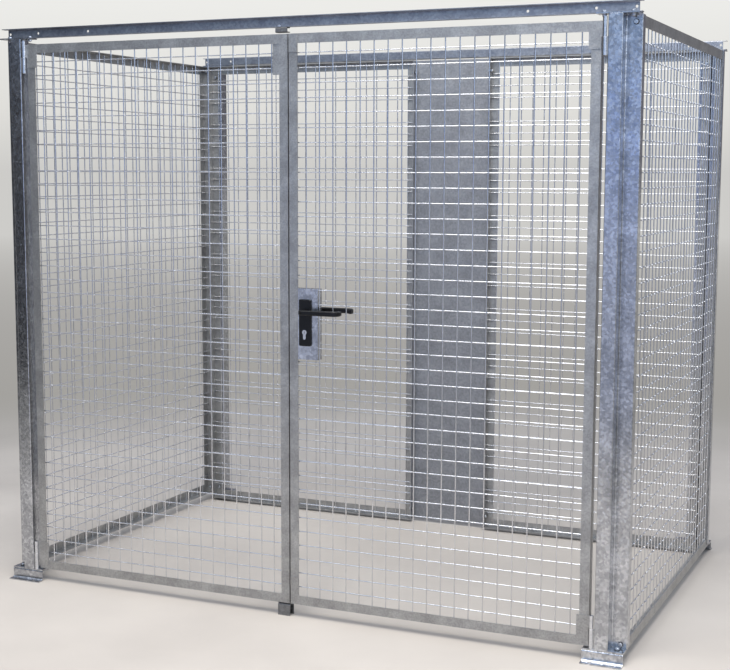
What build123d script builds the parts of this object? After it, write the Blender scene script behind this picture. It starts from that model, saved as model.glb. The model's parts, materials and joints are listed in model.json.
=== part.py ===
"""Walk-in wire mesh cage with a two-leaf door, bolted from folded galvanised posts and framed mesh panels.

Millimetres, +Z up, +X to the right of someone facing the door, the door on the -Y side.
The origin is on the floor, at the centre of the whole object's footprint.
"""
import os
from math import cos, radians

from build123d import *

os.makedirs("parts", exist_ok=True)

# ---------------------------------------------------------------- driving dimensions
# cage
cage_width = 2390.0  # over the side returns of the posts
cage_depth = 1520.0  # over the front and back faces of the posts
post_height = 2000.0
post_sheet = 2.5
fold_radius = 3.0

# folded post, seen from above at the front right corner
face_width = 46.0  # front face beside the door
step_depth = 50.0  # from the front face back to the shoulder
shoulder_width = 50.0  # from the step out to the side return
flank_depth = 35.0  # side return beyond the shoulder
lip_gap = 2.5  # slot left where the inner lip meets the step

# feet, end plates and top rails
foot_height = 40.0
foot_plate = 4.0
foot_fold = 6.0
toe_reach = 28.0  # toe of the foot in front of the post face
ear_width = 39.0  # plate left standing on the door side of the post
web_setback = 44.0  # web of the top rails behind the post face
end_plate = 4.0
rail_height = 36.0
rail_sheet = 2.5
rail_flange = 22.0
rail_overhang = 3.0  # rail flanges beyond the posts
web_cutback = 13.0  # rail web short of its flanges
anchor_hole = 11.0
anchor_edge = 12.0
anchor_inset = 30.0
roof_hole = 9.0
roof_hole_end = 9.0  # last roof hole from the end of the rail web
roof_hole_steps = (0.0, 126.0, 346.0)  # the holes counted in from the last

# framed mesh
wire = 4.0
pitch = 50.0
wall_leg = 35.0  # angle bars of the fixed walls
wall_bar = 3.0
leaf_leg = 32.0  # angle bars of the door leaves
leaf_bar = 3.0
side_bottom = 35.0
back_bottom = 12.0
wall_headroom = 2.0  # walls below the top of the posts
wall_gap = 0.5  # side wall inside the side returns
filler_left = -122.0
filler_right = 222.0
filler_sheet = 2.0

# door leaves
leaf_side_gap = 21.7  # between leaf and post, where the hinge stands
leaf_rise = 4.0  # leaves above the bottom of the posts
leaf_headroom = 20.0  # leaves below the top of the posts
leaf_setback = 13.0  # leaf front behind the post face
meeting_gap = 4.6

# lift-off hinges
barrel = 14.0
pin = 8.0
pin_length = 34.0
turning_gap = 0.05
sleeve_lift = 0.3
barrel_proud = 7.0  # hinge axis in front of the leaf
barrel_inset = 10.8  # hinge axis from the post
wing = 6.0
strap_width = 40.0
strap_sheet = 3.0
top_hinge_drop = 105.0  # foot of the top hinge below the top of the leaf
top_hinge = {"knuckle": 57.0, "sleeve": 61.0, "strap_rise": 20.0, "strap_height": 83.0}
bottom_hinge = {"knuckle": 64.0, "sleeve": 45.0, "strap_rise": 22.0, "strap_height": 85.0}

# bolts
filler_bolt_rise = 48.0  # above the bottom of the back wall
filler_bolt_drop = 52.0  # below the top of the walls
filler_bolt_depth = 22.0
bolt = 8.0
bolt_hole = 9.0
bolt_head = 13.0  # across flats
bolt_head_height = 5.3
nut_height = 6.5
side_bolt_inset = 21.0  # from the ends of the side walls
back_bolt_inset = 48.0  # from the ends of the back wall
bolt_tail = 2.0
shank_sides = 8  # hidden shanks and their holes are octagons, to keep the faces few

# lock
lock_setback = 19.0  # middle of the lock case behind the leaf front
box_width = 75.7
box_drop = 167.0  # bottom of the box below the lever
box_height = 245.0
box_sheet = 2.0
lever_backset = 61.2
lever_level = 1088.0
cylinder_drop = 72.0
plate_width = 45.0
plate_height = 161.0
plate_thickness = 8.0
plate_above_lever = 41.5
plate_corner = 5.0
plate_bevel = 2.0
case_depth = 90.0
case_height = 165.0
case_thickness = 14.0
case_sheet = 1.5
case_above_lever = 45.0
face_strip = 3.0
face_strip_width = 20.0
face_strip_height = 225.0
spindle = 8.0
neck = 16.0
neck_collar = 1.0  # neck showing in front of the plate
socket = 20.0
hub = 18.0
hub_journal = 12.0
grip_height = 17.0
grip_thickness = 15.0
grip_standoff = 50.0
grip_length = 140.0
grip_return = 26.0
grip_bend = 7.0  # inside radius of the bends
grip_bevel = 3.0
latch_height = 14.0
latch_nose = 4.0  # beyond the edge of the leaf, inside the meeting gap
latch_tail = 46.0
latch_bevel = 3.0
dead_height = 28.0
dead_drop = 48.0  # below the lever
dead_tail = 46.0
sliding_gap = 0.3
cylinder_round = 17.0
cylinder_stem = 10.0
cylinder_height = 33.0
cylinder_proud = 2.0
plug = 11.0
keyway_width = 2.0
keyway_height = 8.0
keyway_depth = 12.0
strike_height = 150.0
strike_sheet = 3.0
strike_play = 1.5  # round the bolts in the strike

# shoot bolts of the passive leaf
rod = 12.0
rod_length = 150.0
rod_inset = 18.0  # rod axis from the meeting edge of the leaf
rod_depth = 19.5  # rod axis behind the leaf front
rod_rest = 6.0  # end of the rod below the edge of the leaf
rod_peg = 8.0
peg_length = 22.0
guide_width = 24.0
guide_height = 12.0
guide_wall = 4.0  # behind the rod
peg_stop = 4.0  # peg clear of the guide at rest
guide_spacing = 50.0
guide_inset = 38.0
bolt_plate_width = 52.0
bolt_plate_height = 110.0
bolt_plate_inset = 25.0  # top of the plate below the top of the leaf
bolt_plate_edge = 6.0  # side of the plate from the meeting edge
bolt_plate_sheet = 3.0
rod_hole = 13.0

# keepers and meeting tabs
keeper_width = 45.0
keeper_shift = 10.5  # middle of the keeper from the rod axis
keeper_bolt_shift = 22.5
keeper_drop = 18.0
keeper_sheet = 3.0
keeper_fold = 4.0
socket_width = 48.0
socket_depth = 32.0
socket_gap = 4.0  # floor keeper below the leaf
socket_sheet = 3.0
socket_fold = 6.0
socket_shift = 6.0
tab_sheet = 3.0
top_tab_height = 62.0
bottom_tab_rise = 69.0  # above the bottom of the leaf
bottom_tab_height = 32.0

# ---------------------------------------------------------------- places worked out from them
lever_reach = grip_standoff + grip_thickness / 2
front_reach = max(lever_reach - leaf_setback, toe_reach)
middle_y = (front_reach - toe_reach) / 2
front_y = middle_y - cage_depth / 2

side_x = cage_width / 2
step_x = side_x - shoulder_width
jamb_x = step_x - face_width
shoulder_y = front_y + step_depth
inner_y = shoulder_y + post_sheet
back_inner_y = 2 * middle_y - inner_y
flank_y = shoulder_y + flank_depth
ear_x = jamb_x - ear_width

post_bottom = foot_height + end_plate
post_top = post_bottom + post_height
rail_bottom = post_top + end_plate
rail_top = rail_bottom + rail_height
web_y = front_y + web_setback
wall_top = post_top - wall_headroom

leaf_y = front_y + leaf_setback
leaf_back_y = leaf_y + leaf_leg
leaf_bottom = post_bottom + leaf_rise
leaf_top = post_top - leaf_headroom
leaf_height = leaf_top - leaf_bottom
leaf_level = (leaf_top + leaf_bottom) / 2
edge_x = meeting_gap / 2
leaf_width = jamb_x - leaf_side_gap - edge_x
leaf_x = edge_x + leaf_width / 2
hinge_x = jamb_x - barrel_inset
hinge_y = leaf_y - barrel_proud
hinges = ((leaf_top - top_hinge_drop, top_hinge), (post_bottom, bottom_hinge))

lock_left = edge_x + leaf_bar
lock_right = edge_x + leaf_leg + box_width
lock_y = leaf_y + lock_setback
box_bottom = lever_level - box_drop
lever_x = edge_x + lever_backset
cylinder_level = lever_level - cylinder_drop
dead_level = lever_level - dead_drop

rod_x = -edge_x - rod_inset
rod_y = leaf_y + rod_depth
wires_back_y = leaf_y + leaf_bar + 2 * wire

mid_wall = Plane.XZ.offset(-middle_y)
corners = {
    "front_right": (),
    "front_left": (Plane.YZ,),
    "back_right": (mid_wall,),
    "back_left": (Plane.YZ, mid_wall),
}


# ---------------------------------------------------------------- shared shapes
def mirrored(shape, planes):
    """The shape turned over in each plane after the other."""
    for plane in planes:
        shape = mirror(shape, about=plane, mode=Mode.PRIVATE)
    return shape


def at_each_corner(shape):
    """The front right shape and its three mirror images."""
    return Compound(children=[mirrored(shape, planes) for planes in corners.values()])


def angle_bar(wall, start, inward, length, leg, bar):
    """One mitred angle bar; start is the middle of its outer edge, inward points into the frame."""
    depth = -wall.z_dir
    along = inward.cross(depth)
    with BuildPart() as angle:
        with BuildSketch(Plane(origin=start, x_dir=inward, z_dir=along)):
            Rectangle(leg, bar, align=(Align.MIN, Align.MIN))
            Rectangle(bar, leg, align=(Align.MIN, Align.MIN))
        extrude(amount=length / 2, both=True)
        for end in (along, -along):
            mitre = Plane(origin=start + end * (length / 2), z_dir=end + inward)
            split(bisect_by=mitre, keep=Keep.BOTTOM)
    return angle.part


def angle_frame(wall, width, height, leg, bar):
    """Four mitred angle bars round a panel whose outer face lies in the wall plane."""
    across = wall.x_dir
    up = wall.y_dir
    centre = wall.origin
    sides = (
        (centre - up * (height / 2), up, width),
        (centre + up * (height / 2), -up, width),
        (centre - across * (width / 2), across, height),
        (centre + across * (width / 2), -across, height),
    )
    return [angle_bar(wall, start, inward, length, leg, bar) for start, inward, length in sides]


def wire_row(base, count, length):
    """Equal parallel wires standing on the base plane, spread along its x direction."""
    corner = wire / 2 / cos(radians(30))
    with BuildPart() as row:
        with BuildSketch(base):
            with GridLocations(pitch, pitch, count, 1):
                RegularPolygon(corner, 6)
        extrude(amount=length)
    return row.part


def mesh_rows(wall, width, height, leg, bar, spare):
    """Upright wires against the frame's front leg and crosswise wires behind them."""
    across = wall.x_dir
    up = wall.y_dir
    inner_width = width - 2 * bar
    inner_height = height - 2 * bar
    columns = int((width - 2 * leg) // pitch) + spare
    rows = int((height - 2 * leg) // pitch)
    upright_at = wall.origin - wall.z_dir * (bar + wire / 2)
    cross_at = upright_at - wall.z_dir * wire
    upright_base = Plane(origin=upright_at - up * (inner_height / 2), x_dir=across, z_dir=up)
    cross_base = Plane(origin=cross_at - across * (inner_width / 2), x_dir=up, z_dir=across)
    return [wire_row(upright_base, columns, inner_height), wire_row(cross_base, rows, inner_width)]


def hex_bolt(seat, grip):
    """Hexagon bolt with its nut; the head rests on the seat plane and the shank runs against its normal."""
    across_corners = bolt_head / cos(radians(30)) / 2
    with BuildPart() as fastener:
        with BuildSketch(seat):
            RegularPolygon(across_corners, 6)
        extrude(amount=bolt_head_height)
        with BuildSketch(seat):
            RegularPolygon(bolt / 2, shank_sides)
        extrude(amount=-(grip + nut_height + bolt_tail))
        with BuildSketch(seat.offset(-grip)):
            RegularPolygon(across_corners, 6)
        extrude(amount=-nut_height)
    return fastener.part


# ---------------------------------------------------------------- posts
wall_bolt_x = side_x - post_sheet - wall_gap - wall_leg / 2
lip_end_x = step_x - post_sheet - lip_gap
back_bolt_x = step_x - wall_leg + (lip_end_x - step_x + wall_leg) / 2
wall_bolt_levels = (side_bottom + side_bolt_inset, wall_top - side_bolt_inset)
back_bolt_levels = (back_bottom + back_bolt_inset, wall_top - back_bolt_inset)

with BuildPart() as corner_post:
    with BuildSketch(Plane.XY.offset(post_bottom)):
        with BuildLine():
            FilletPolyline(
                (lip_end_x, inner_y),
                (jamb_x, inner_y),
                (jamb_x, front_y),
                (step_x, front_y),
                (step_x, shoulder_y),
                (side_x, shoulder_y),
                (side_x, flank_y),
                radius=fold_radius,
            )
            offset(amount=post_sheet, side=Side.LEFT)
        make_face()
    extrude(amount=post_height)
    with BuildSketch(Plane.XZ.offset(-inner_y)):
        with Locations(*[(wall_bolt_x, z) for z in wall_bolt_levels]):
            RegularPolygon(bolt_hole / 2, shank_sides)
        with Locations(*[(back_bolt_x, z) for z in back_bolt_levels]):
            RegularPolygon(bolt_hole / 2, shank_sides)
    extrude(amount=2 * post_sheet, mode=Mode.SUBTRACT)

for corner, planes in corners.items():
    post = mirrored(corner_post.part, planes)
    post.label = f"{corner}_post"
    export_step(post, f"parts/{corner}_post.step")

# ---------------------------------------------------------------- end plates of the posts
flank_bolt_x = step_x + shoulder_width / 2
ear_bolt_x = jamb_x - ear_width / 2
box_bolt_x = jamb_x + face_width / 2
plate_depth = step_depth
rail_bolt_y = web_y - rail_flange / 2
foot_bolt_y = front_y + plate_depth / 2


def end_plate_part(level, bolt_places):
    """Plate welded across one end of the post, with its bolt holes."""
    with BuildPart() as plate:
        with BuildSketch(Plane.XY.offset(level)):
            with Locations((ear_x, front_y)):
                Rectangle(side_x - ear_x, plate_depth, align=(Align.MIN, Align.MIN))
            with Locations(*bolt_places):
                RegularPolygon(bolt_hole / 2, shank_sides, mode=Mode.SUBTRACT)
        extrude(amount=end_plate)
    return plate.part


foot_bolts_at = ((box_bolt_x, foot_bolt_y), (flank_bolt_x, foot_bolt_y))
rail_bolts_at = ((ear_bolt_x, rail_bolt_y), (flank_bolt_x, rail_bolt_y))

post_base_plates = at_each_corner(end_plate_part(foot_height, foot_bolts_at))
post_base_plates.label = "post_base_plates"
export_step(post_base_plates, "parts/post_base_plates.step")

post_head_plates = at_each_corner(end_plate_part(post_top, rail_bolts_at))
post_head_plates.label = "post_head_plates"
export_step(post_head_plates, "parts/post_head_plates.step")

# ---------------------------------------------------------------- feet
foot_length = side_x - ear_x
toe_y = front_y - toe_reach

with BuildPart() as corner_foot:
    with BuildSketch(Plane.YZ.offset(ear_x)):
        with BuildLine():
            FilletPolyline(
                (front_y + plate_depth, foot_height),
                (front_y, foot_height),
                (front_y, foot_plate),
                (toe_y, foot_plate),
                radius=foot_fold,
            )
            offset(amount=foot_plate, side=Side.LEFT)
        make_face()
    extrude(amount=foot_length)
    with BuildSketch(Plane.XY):
        with Locations(*[(x, toe_y + anchor_edge) for x in (ear_x + anchor_inset, side_x - anchor_inset)]):
            Circle(anchor_hole / 2)
    extrude(amount=foot_plate, mode=Mode.SUBTRACT)
    with BuildSketch(Plane.XY.offset(foot_height)):
        with Locations(*foot_bolts_at):
            RegularPolygon(bolt_hole / 2, shank_sides)
    extrude(amount=-foot_plate, mode=Mode.SUBTRACT)

for corner, planes in corners.items():
    foot = mirrored(corner_foot.part, planes)
    foot.label = f"{corner}_foot"
    export_step(foot, f"parts/{corner}_foot.step")

# ---------------------------------------------------------------- top rails
rail_end_x = side_x + rail_overhang
web_end_x = rail_end_x - web_cutback
roof_holes_x = [web_end_x - roof_hole_end - step for step in roof_hole_steps]
keeper_bolt_x = rod_x - keeper_bolt_shift

with BuildPart() as front_top_rail:
    with BuildSketch(Plane.YZ.offset(-rail_end_x)):
        with BuildLine():
            FilletPolyline(
                (web_y - rail_flange, rail_bottom),
                (web_y + rail_sheet, rail_bottom),
                (web_y + rail_sheet, rail_top),
                (web_y - rail_flange, rail_top),
                radius=fold_radius,
            )
            offset(amount=rail_sheet, side=Side.LEFT)
        make_face()
    extrude(amount=2 * rail_end_x)
    with BuildSketch(Plane.XZ.offset(-web_y - rail_sheet)):
        for side in (-1, 1):
            with Locations((side * (rail_end_x - web_cutback / 2), (rail_bottom + rail_top) / 2)):
                Rectangle(web_cutback, rail_height - 2 * rail_sheet)
            with Locations(*[(side * x, (rail_bottom + rail_top) / 2) for x in roof_holes_x]):
                Circle(roof_hole / 2)
    extrude(amount=fold_radius, mode=Mode.SUBTRACT)
    with BuildSketch(Plane.XY.offset(rail_bottom)):
        for side in (-1, 1):
            with Locations(*[(side * x, y) for x, y in rail_bolts_at]):
                RegularPolygon(bolt_hole / 2, shank_sides)
        with Locations((keeper_bolt_x, rail_bolt_y)):
            RegularPolygon(bolt_hole / 2, shank_sides)
    extrude(amount=rail_sheet, mode=Mode.SUBTRACT)

with BuildPart() as back_top_rail:
    add(mirror(front_top_rail.part, about=mid_wall, mode=Mode.PRIVATE))

front_top_rail.part.label = "front_top_rail"
export_step(front_top_rail.part, "parts/front_top_rail.step")
back_top_rail.part.label = "back_top_rail"
export_step(back_top_rail.part, "parts/back_top_rail.step")

# ---------------------------------------------------------------- side walls
side_height = wall_top - side_bottom
side_width = 2 * (middle_y - inner_y)
side_skin_x = side_x - post_sheet - wall_gap
side_level = (wall_top + side_bottom) / 2
right_wall = Plane(origin=(side_skin_x, middle_y, side_level), x_dir=(0, 1, 0), z_dir=(1, 0, 0))


def bolt_circles(plane, places):
    """Sketch of bolt holes on the plane."""
    with BuildSketch(plane) as circles:
        with Locations(*places):
            RegularPolygon(bolt_hole / 2, shank_sides)
    return circles.sketch


def pierced(shape, outline, depth):
    """The shape with the outline cut through it, against the outline's normal."""
    with BuildPart() as piece:
        add(shape)
        extrude(outline, amount=-depth, mode=Mode.SUBTRACT)
    return piece.part


side_bars = angle_frame(right_wall, side_width, side_height, wall_leg, wall_bar)
side_holes = [(wall_bolt_x, z) for z in wall_bolt_levels]
front_holes = bolt_circles(Plane.XZ.offset(-inner_y), side_holes)
back_holes = bolt_circles(Plane.XZ.offset(wall_bar - back_inner_y), side_holes)
side_bars[2] = pierced(side_bars[2], front_holes, wall_bar)
side_bars[3] = pierced(side_bars[3], back_holes, wall_bar)

right_side_frame = Compound(children=side_bars)
left_side_frame = mirrored(right_side_frame, (Plane.YZ,))
right_side_mesh = Compound(children=mesh_rows(right_wall, side_width, side_height, wall_leg, wall_bar, 1))
left_side_mesh = mirrored(right_side_mesh, (Plane.YZ,))
right_side_frame.label = "right_side_frame"
export_step(right_side_frame, "parts/right_side_frame.step")
left_side_frame.label = "left_side_frame"
export_step(left_side_frame, "parts/left_side_frame.step")
right_side_mesh.label = "right_side_mesh"
export_step(right_side_mesh, "parts/right_side_mesh.step")
left_side_mesh.label = "left_side_mesh"
export_step(left_side_mesh, "parts/left_side_mesh.step")

# ---------------------------------------------------------------- back wall
back_height = wall_top - back_bottom
back_level = (wall_top + back_bottom) / 2
filler_bolt_y = back_inner_y - filler_bolt_depth
filler_bolt_levels = (back_bottom + filler_bolt_rise, wall_top - filler_bolt_drop)
filler_places = [(filler_bolt_y, z) for z in filler_bolt_levels]


def back_wall_plane(low_x, high_x):
    """Outer face of a back panel between two X positions."""
    middle = ((low_x + high_x) / 2, back_inner_y, back_level)
    return Plane(origin=middle, x_dir=(-1, 0, 0), z_dir=(0, 1, 0))


def post_holes(side):
    """Holes in the bar of a back panel for the bolts into the post's lip."""
    plane = Plane.XZ.offset(wall_bar - back_inner_y)
    return bolt_circles(plane, [(side * back_bolt_x, z) for z in back_bolt_levels])


back_left_wall = back_wall_plane(-step_x, filler_left)
back_left_width = filler_left + step_x
back_left_bars = angle_frame(back_left_wall, back_left_width, back_height, wall_leg, wall_bar)
left_filler_holes = bolt_circles(Plane.YZ.offset(filler_left), filler_places)
back_left_bars[2] = pierced(back_left_bars[2], left_filler_holes, wall_bar)
back_left_bars[3] = pierced(back_left_bars[3], post_holes(-1), wall_bar)
back_left_frame = Compound(children=back_left_bars)
back_left_mesh = Compound(
    children=mesh_rows(back_left_wall, back_left_width, back_height, wall_leg, wall_bar, 1)
)
back_left_frame.label = "back_left_frame"
export_step(back_left_frame, "parts/back_left_frame.step")
back_left_mesh.label = "back_left_mesh"
export_step(back_left_mesh, "parts/back_left_mesh.step")

back_right_wall = back_wall_plane(filler_right, step_x)
back_right_width = step_x - filler_right
back_right_bars = angle_frame(back_right_wall, back_right_width, back_height, wall_leg, wall_bar)
right_filler_holes = bolt_circles(Plane.YZ.offset(filler_right + wall_bar), filler_places)
back_right_bars[2] = pierced(back_right_bars[2], post_holes(1), wall_bar)
back_right_bars[3] = pierced(back_right_bars[3], right_filler_holes, wall_bar)
back_right_frame = Compound(children=back_right_bars)
back_right_mesh = Compound(
    children=mesh_rows(back_right_wall, back_right_width, back_height, wall_leg, wall_bar, 1)
)
back_right_frame.label = "back_right_frame"
export_step(back_right_frame, "parts/back_right_frame.step")
back_right_mesh.label = "back_right_mesh"
export_step(back_right_mesh, "parts/back_right_mesh.step")

with BuildPart() as back_filler_sheet:
    with BuildSketch(Plane.XY.offset(back_bottom)):
        with BuildLine():
            FilletPolyline(
                (filler_left, back_inner_y - wall_leg),
                (filler_left, back_inner_y),
                (filler_right, back_inner_y),
                (filler_right, back_inner_y - wall_leg),
                radius=fold_radius,
            )
            offset(amount=filler_sheet, side=Side.RIGHT)
        make_face()
    extrude(amount=back_height)
    with BuildSketch(Plane.YZ.offset(filler_right)):
        with Locations(*filler_places):
            RegularPolygon(bolt_hole / 2, shank_sides)
    extrude(amount=filler_left - filler_right, mode=Mode.SUBTRACT)
back_filler_sheet.part.label = "back_filler_sheet"
export_step(back_filler_sheet.part, "parts/back_filler_sheet.step")

# ---------------------------------------------------------------- bolts of the cage
side_grip = post_sheet + wall_bar
filler_grip = filler_sheet + wall_bar


def seat(x, y, z, normal):
    """Plane that a bolt head rests on."""
    return Plane(origin=(x, y, z), z_dir=normal)


wall_bolt_shapes = []
for level in wall_bolt_levels:
    side_bolt = hex_bolt(seat(wall_bolt_x, shoulder_y, level, (0, -1, 0)), side_grip)
    wall_bolt_shapes += [mirrored(side_bolt, planes) for planes in corners.values()]
for level in back_bolt_levels:
    back_bolt = hex_bolt(seat(back_bolt_x, back_inner_y - wall_bar, level, (0, -1, 0)), side_grip)
    wall_bolt_shapes += [back_bolt, mirrored(back_bolt, (Plane.YZ,))]
wall_bolts = Compound(children=wall_bolt_shapes)
wall_bolts.label = "wall_bolts"
export_step(wall_bolts, "parts/wall_bolts.step")

filler_bolt_shapes = []
for level in filler_bolt_levels:
    left_seat = seat(filler_left + filler_sheet, filler_bolt_y, level, (1, 0, 0))
    right_seat = seat(filler_right - filler_sheet, filler_bolt_y, level, (-1, 0, 0))
    filler_bolt_shapes += [hex_bolt(left_seat, filler_grip), hex_bolt(right_seat, filler_grip)]
filler_bolts = Compound(children=filler_bolt_shapes)
filler_bolts.label = "filler_bolts"
export_step(filler_bolts, "parts/filler_bolts.step")

foot_bolt_shapes = []
for x, y in foot_bolts_at:
    shape = hex_bolt(seat(x, y, foot_height - foot_plate, (0, 0, -1)), foot_plate + end_plate)
    foot_bolt_shapes += [mirrored(shape, planes) for planes in corners.values()]
foot_bolts = Compound(children=foot_bolt_shapes)
foot_bolts.label = "foot_bolts"
export_step(foot_bolts, "parts/foot_bolts.step")

rail_bolt_shapes = []
rail_seat_level = rail_bottom + rail_sheet
for x, y in rail_bolts_at:
    shape = hex_bolt(seat(x, y, rail_seat_level, (0, 0, 1)), rail_sheet + end_plate)
    rail_bolt_shapes += [mirrored(shape, planes) for planes in corners.values()]
keeper_seat = seat(keeper_bolt_x, rail_bolt_y, rail_seat_level, (0, 0, 1))
rail_bolt_shapes.append(hex_bolt(keeper_seat, rail_sheet + keeper_sheet))
rail_bolts = Compound(children=rail_bolt_shapes)
rail_bolts.label = "rail_bolts"
export_step(rail_bolts, "parts/rail_bolts.step")

# ---------------------------------------------------------------- door leaf frames and mesh
leaf_wall = Plane(origin=(leaf_x, leaf_y, leaf_level), x_dir=(1, 0, 0), z_dir=(0, -1, 0))
leaf_bars = angle_frame(leaf_wall, leaf_width, leaf_height, leaf_leg, leaf_bar)
bolt_thickness = case_thickness - 2 * case_sheet - 2 * sliding_gap


def bolt_slots(x, play):
    """Sketch of the two openings that the latch and the deadbolt slide through."""
    with BuildSketch(Plane.YZ.offset(x)) as slots:
        with Locations((lock_y, lever_level)):
            Rectangle(bolt_thickness + 2 * play, latch_height + 2 * play)
        with Locations((lock_y, dead_level)):
            Rectangle(bolt_thickness + 2 * play, dead_height + 2 * play)
    return slots.sketch


def rod_circle(level):
    """Sketch of the hole for a shoot bolt."""
    with BuildSketch(Plane.XY.offset(level)) as circle:
        with Locations((rod_x, rod_y)):
            Circle(rod_hole / 2)
    return circle.sketch


right_bars = list(leaf_bars)
right_bars[2] = pierced(leaf_bars[2], bolt_slots(edge_x + leaf_bar, sliding_gap), leaf_bar)
right_leaf_frame = Compound(children=right_bars)
right_leaf_frame.label = "right_leaf_frame"
export_step(right_leaf_frame, "parts/right_leaf_frame.step")

left_bars = [mirrored(bar, (Plane.YZ,)) for bar in leaf_bars]
left_bars[0] = pierced(left_bars[0], rod_circle(leaf_bottom + leaf_bar), leaf_bar)
left_bars[1] = pierced(left_bars[1], rod_circle(leaf_top), leaf_bar)
left_bars[2] = pierced(left_bars[2], bolt_slots(-edge_x, strike_play), leaf_bar)
left_leaf_frame = Compound(children=left_bars)
left_leaf_frame.label = "left_leaf_frame"
export_step(left_leaf_frame, "parts/left_leaf_frame.step")

leaf_rows = mesh_rows(leaf_wall, leaf_width, leaf_height, leaf_leg, leaf_bar, 0)
left_leaf_mesh = Compound(children=[mirrored(row, (Plane.YZ,)) for row in leaf_rows])
left_leaf_mesh.label = "left_leaf_mesh"
export_step(left_leaf_mesh, "parts/left_leaf_mesh.step")

with BuildSketch(Plane.XZ.offset(-leaf_y)) as lock_space:
    with Locations((lock_left, box_bottom)):
        Rectangle(lock_right - lock_left, box_height, align=(Align.MIN, Align.MIN))
right_leaf_mesh = Compound(children=[pierced(row, lock_space.sketch, leaf_leg) for row in leaf_rows])
right_leaf_mesh.label = "right_leaf_mesh"
export_step(right_leaf_mesh, "parts/right_leaf_mesh.step")

# ---------------------------------------------------------------- lift-off hinges
pin_shapes = []
sleeve_shapes = []
for hinge_foot, hinge in hinges:
    split_level = hinge_foot + hinge["knuckle"]
    with BuildPart() as pin_half:
        with BuildSketch(Plane.XY.offset(hinge_foot)):
            with Locations((hinge_x, hinge_y)):
                Circle(barrel / 2)
                Rectangle(jamb_x - hinge_x, wing, align=(Align.MIN, Align.CENTER))
        extrude(amount=hinge["knuckle"])
        with BuildSketch(Plane.XY.offset(split_level)):
            with Locations((hinge_x, hinge_y)):
                Circle(pin / 2)
        extrude(amount=pin_length)
    pin_shapes.append(pin_half.part)

    sleeve_foot = split_level + sleeve_lift
    strap_low = hinge_foot + hinge["strap_rise"]
    strap_high = strap_low + hinge["strap_height"]
    with BuildPart() as sleeve_half:
        with BuildSketch(Plane.XY.offset(sleeve_foot)):
            with Locations((hinge_x, hinge_y)):
                Circle(barrel / 2)
        extrude(amount=hinge["sleeve"] - sleeve_lift)
        with BuildSketch(Plane.XZ.offset(-leaf_y)):
            with Locations((hinge_x, sleeve_foot)):
                Rectangle(
                    hinge_x - leaf_x - leaf_width / 2,
                    strap_high - sleeve_foot,
                    align=(Align.MAX, Align.MIN),
                )
            with Locations((leaf_x + leaf_width / 2, strap_low)):
                Rectangle(strap_width, strap_high - strap_low, align=(Align.MAX, Align.MIN))
        extrude(amount=strap_sheet)
        with BuildSketch(Plane.XY.offset(sleeve_foot)):
            with Locations((hinge_x, hinge_y)):
                Circle(pin / 2 + turning_gap)
        extrude(amount=pin_length - sleeve_lift + turning_gap, mode=Mode.SUBTRACT)
    sleeve_shapes.append(sleeve_half.part)

right_hinge_pins = Compound(children=pin_shapes)
right_hinge_pins.label = "right_hinge_pins"
export_step(right_hinge_pins, "parts/right_hinge_pins.step")
left_hinge_pins = Compound(children=[mirrored(shape, (Plane.YZ,)) for shape in pin_shapes])
left_hinge_pins.label = "left_hinge_pins"
export_step(left_hinge_pins, "parts/left_hinge_pins.step")
right_hinge_sleeves = Compound(children=sleeve_shapes)
right_hinge_sleeves.label = "right_hinge_sleeves"
export_step(right_hinge_sleeves, "parts/right_hinge_sleeves.step")
left_hinge_sleeves = Compound(children=[mirrored(shape, (Plane.YZ,)) for shape in sleeve_shapes])
left_hinge_sleeves.label = "left_hinge_sleeves"
export_step(left_hinge_sleeves, "parts/left_hinge_sleeves.step")

# ---------------------------------------------------------------- lock box and lock case
leaf_middle = Plane.XZ.offset(-leaf_y - leaf_leg / 2)
plate_level = lever_level + plate_above_lever - plate_height / 2
case_left = lock_left + face_strip
case_level = lever_level + case_above_lever - case_height / 2


def cylinder_outline(plane, play):
    """Profile cylinder section: a round head on a round-ended stem."""
    stem_end = cylinder_level + cylinder_round / 2 - cylinder_height + cylinder_stem / 2
    with BuildSketch(plane) as outline:
        with Locations((lever_x, cylinder_level)):
            Circle(cylinder_round / 2 + play)
        with Locations((lever_x, (cylinder_level + stem_end) / 2)):
            Rectangle(cylinder_stem + 2 * play, cylinder_level - stem_end)
        with Locations((lever_x, stem_end)):
            Circle(cylinder_stem / 2 + play)
    return outline.sketch


with BuildPart() as lock_box:
    with BuildSketch(Plane.XY.offset(box_bottom)):
        with Locations((lock_left, leaf_y + leaf_bar)):
            Rectangle(lock_right - lock_left, leaf_leg - leaf_bar, align=(Align.MIN, Align.MIN))
        with Locations((lock_right, leaf_y)):
            Rectangle(box_width, leaf_leg, align=(Align.MAX, Align.MIN))
    extrude(amount=box_height)
    with BuildSketch(Plane.XY.offset(box_bottom + box_sheet)):
        with Locations((lock_left, leaf_y + box_sheet)):
            Rectangle(
                lock_right - lock_left - box_sheet,
                leaf_leg - 2 * box_sheet,
                align=(Align.MIN, Align.MIN),
            )
    extrude(amount=box_height - 2 * box_sheet, mode=Mode.SUBTRACT)
    with BuildSketch(Plane.XZ.offset(-leaf_y)):
        with Locations((lever_x, lever_level)):
            Circle(hub_journal / 2)
    extrude(amount=-leaf_leg, mode=Mode.SUBTRACT)
    extrude(cylinder_outline(Plane.XZ.offset(-leaf_y), turning_gap), amount=-leaf_leg, mode=Mode.SUBTRACT)
lock_box.part.label = "lock_box"
export_step(lock_box.part, "parts/lock_box.step")

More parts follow.
